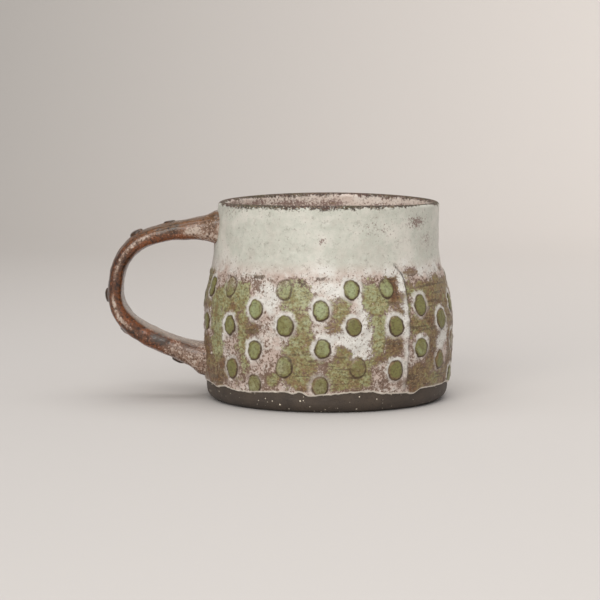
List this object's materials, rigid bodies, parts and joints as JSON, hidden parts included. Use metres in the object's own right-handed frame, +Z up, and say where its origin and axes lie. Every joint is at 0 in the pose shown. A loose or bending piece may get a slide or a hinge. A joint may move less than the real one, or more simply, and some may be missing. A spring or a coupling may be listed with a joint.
{
  "type": "stoneware mug",
  "caption": "Squat hand-built stoneware mug with a smooth collar, a dot-textured glazed lower wall, a bare rounded foot and a strap handle.",
  "frame": {"origin": "centre of the flat underside, on the mug's own axis", "axes": "+Z up; the handle points along -X; +Y is the side behind the mug when the handle is on the left"},
  "size_m": [0.1391, 0.1, 0.08],
  "materials": {
    "bare_clay": "matte dark stoneware with pale specks",
    "wall_clay": "fired brown stoneware, hidden under glaze",
    "handle_clay": "fired brown stoneware, hidden under glaze",
    "liner_glaze": "satin pinkish grey glaze with brown mottling",
    "layered_glaze": "thick white glaze over green and brown, satin",
    "collar_glaze": "pale grey green satin glaze with fine dark specks",
    "rust_glaze": "glossy rust brown glaze with a pale speckled streak"
  },
  "bodies": {
    "root": {"base_slab": "bare_clay", "wall_slab": "wall_clay", "collar_band": "wall_clay", "corner_coil": "wall_clay", "handle": "handle_clay", "handle_buttons": "rust_glaze", "liner_glaze": "liner_glaze", "wall_glaze": "layered_glaze", "collar_glaze": "collar_glaze", "handle_glaze": "rust_glaze"}
  },
  "joints": []
}
